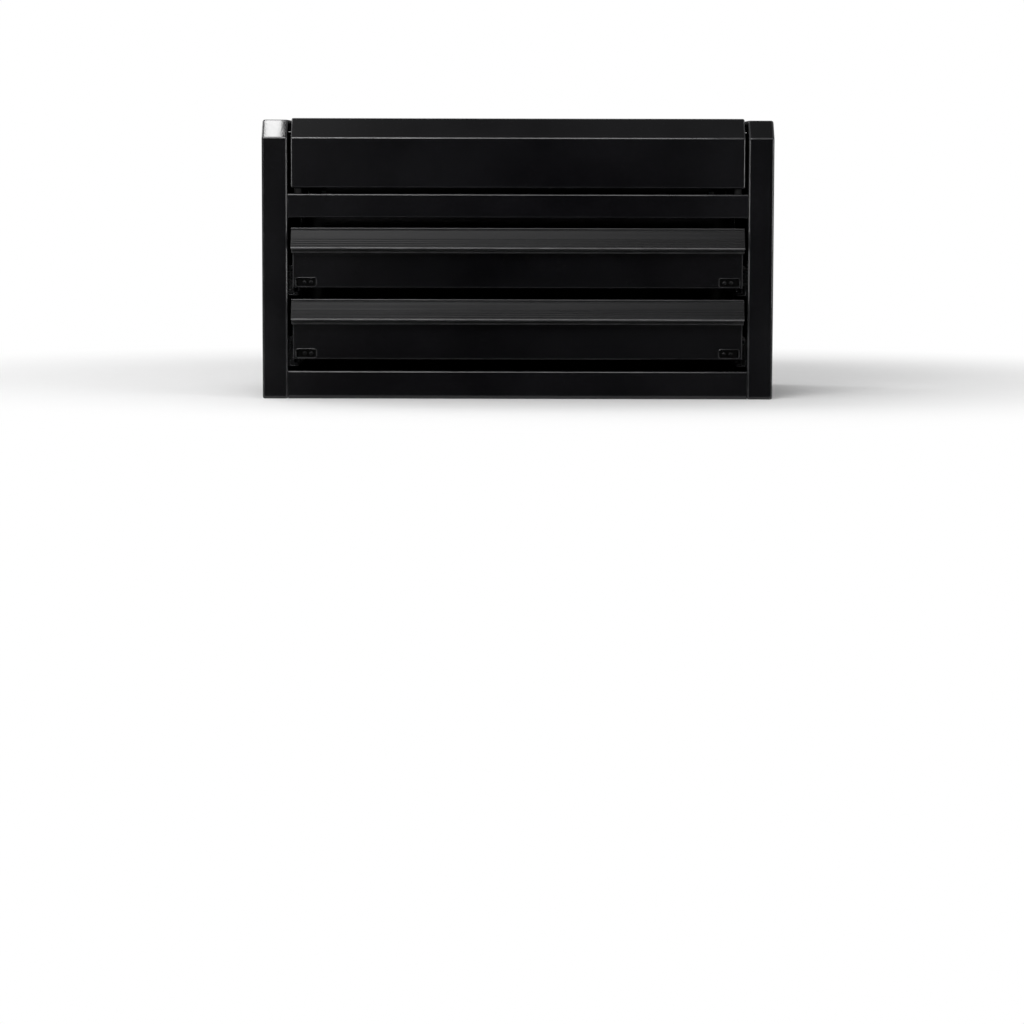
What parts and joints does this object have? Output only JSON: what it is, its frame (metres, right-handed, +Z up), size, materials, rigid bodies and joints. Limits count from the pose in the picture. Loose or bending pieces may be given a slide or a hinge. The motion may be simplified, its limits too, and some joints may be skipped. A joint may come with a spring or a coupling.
{
  "type": "drawer tool box",
  "caption": "Black folded-steel top tool chest with a hinged lid over an open till, full-width drawers with grooved pulls on telescopic slides, gas struts and side bail handles.",
  "frame": {"origin": "middle of the overall footprint on the surface that the chest stands on", "axes": "+X to the chest's right as seen from the front, +Y to the back, +Z up; the front faces -Y"},
  "size_m": [0.6268, 0.3192, 0.334],
  "materials": {
    "black_paint": "gloss black powder coat",
    "rubber": "matt black rubber",
    "zinc": "bright zinc plate",
    "black_zinc": "black plated steel",
    "slide_steel": "dark zinc plate with a film of oil",
    "chrome": "polished hard chrome",
    "tube_black": "smooth black enamel",
    "pull_black": "satin black extrusion with fine grooves"
  },
  "bodies": {
    "case": {"side_panel_right": "black_paint", "side_panel_left": "black_paint", "back_panel": "black_paint", "bottom_panel": "black_paint", "till_floor": "black_paint", "bottom_rail": "black_paint", "top_rail": "black_paint", "rear_upright_right": "black_paint", "rear_upright_left": "black_paint", "lid_bumper_right": "rubber", "lid_bumper_left": "rubber", "case_hinge_leaf": "black_paint", "hinge_pin": "zinc", "case_strut_bracket_right": "zinc", "case_strut_bracket_left": "zinc", "handle_plate_right": "black_zinc", "handle_plate_left": "black_zinc", "upper_slide_outer_right": "slide_steel", "upper_slide_outer_left": "slide_steel", "lower_slide_outer_right": "slide_steel", "lower_slide_outer_left": "slide_steel"},
    "lid": {"lid_panel": "black_paint", "lid_hinge_leaf": "black_paint", "lid_strut_bracket_right": "zinc", "lid_strut_bracket_left": "zinc"},
    "strut_rod_right": {"strut_rod_right": "chrome"},
    "strut_tube_right": {"strut_tube_right": "tube_black"},
    "strut_rod_left": {"strut_rod_left": "chrome"},
    "strut_tube_left": {"strut_tube_left": "tube_black"},
    "upper_drawer": {"upper_drawer_front": "black_paint", "upper_drawer_pan": "black_paint", "upper_drawer_pull": "pull_black", "upper_corner_clip_right": "black_zinc", "upper_corner_clip_left": "black_zinc", "upper_slide_inner_right": "slide_steel", "upper_slide_inner_left": "slide_steel"},
    "upper_slide_middle": {"upper_slide_middle_right": "slide_steel", "upper_slide_middle_left": "slide_steel"},
    "lower_drawer": {"lower_drawer_front": "black_paint", "lower_drawer_pan": "black_paint", "lower_drawer_pull": "pull_black", "lower_corner_clip_right": "black_zinc", "lower_corner_clip_left": "black_zinc", "lower_slide_inner_right": "slide_steel", "lower_slide_inner_left": "slide_steel"},
    "lower_slide_middle": {"lower_slide_middle_right": "slide_steel", "lower_slide_middle_left": "slide_steel"},
    "bail_right": {"bail_handle_right": "black_zinc"},
    "bail_left": {"bail_handle_left": "black_zinc"}
  },
  "joints": [
    {"name": "lid_hinge", "type": "hinge", "parent": "case", "child": "lid", "pos_m": [0, 0.15405, 0.3305], "axis": [-1, 0, 0], "range_deg": [0, 80]},
    {"name": "strut_rod_pivot_right", "type": "hinge", "parent": "case", "child": "strut_rod_right", "pos_m": [0.256, 0.14318, 0.22707], "axis": [-1, 0, 0], "range_deg": [0, 40]},
    {"name": "strut_tube_pivot_right", "type": "hinge", "parent": "lid", "child": "strut_tube_right", "pos_m": [0.256, 0.05133, 0.31423], "axis": [-1, 0, 0], "range_deg": [-40, 0]},
    {"name": "strut_rod_pivot_left", "type": "hinge", "parent": "case", "child": "strut_rod_left", "pos_m": [-0.256, 0.14318, 0.22707], "axis": [-1, 0, 0], "range_deg": [0, 40]},
    {"name": "strut_tube_pivot_left", "type": "hinge", "parent": "lid", "child": "strut_tube_left", "pos_m": [-0.256, 0.05133, 0.31423], "axis": [-1, 0, 0], "range_deg": [-40, 0]},
    {"name": "upper_drawer_slide", "type": "slide", "parent": "case", "child": "upper_drawer", "axis": [0, -1, 0], "range_m": [0, 0.25]},
    {"name": "upper_slide_middle_slide", "type": "slide", "parent": "case", "child": "upper_slide_middle", "axis": [0, -1, 0], "range_m": [0, 0.125]},
    {"name": "lower_drawer_slide", "type": "slide", "parent": "case", "child": "lower_drawer", "axis": [0, -1, 0], "range_m": [0, 0.25]},
    {"name": "lower_slide_middle_slide", "type": "slide", "parent": "case", "child": "lower_slide_middle", "axis": [0, -1, 0], "range_m": [0, 0.125]},
    {"name": "bail_hinge_right", "type": "hinge", "parent": "case", "child": "bail_right", "pos_m": [0.3095, 0.00715, 0.212], "axis": [0, -1, 0], "range_deg": [0, 90]},
    {"name": "bail_hinge_left", "type": "hinge", "parent": "case", "child": "bail_left", "pos_m": [-0.3095, 0.00715, 0.212], "axis": [0, 1, 0], "range_deg": [0, 90]}
  ],
  "couplings": [
    {"joint": "strut_rod_pivot_right", "follows": "lid_hinge", "ratio": 0.5},
    {"joint": "strut_tube_pivot_right", "follows": "lid_hinge", "ratio": -0.5},
    {"joint": "strut_rod_pivot_left", "follows": "lid_hinge", "ratio": 0.5},
    {"joint": "strut_tube_pivot_left", "follows": "lid_hinge", "ratio": -0.5},
    {"joint": "upper_slide_middle_slide", "follows": "upper_drawer_slide", "ratio": 0.5},
    {"joint": "lower_slide_middle_slide", "follows": "lower_drawer_slide", "ratio": 0.5}
  ]
}
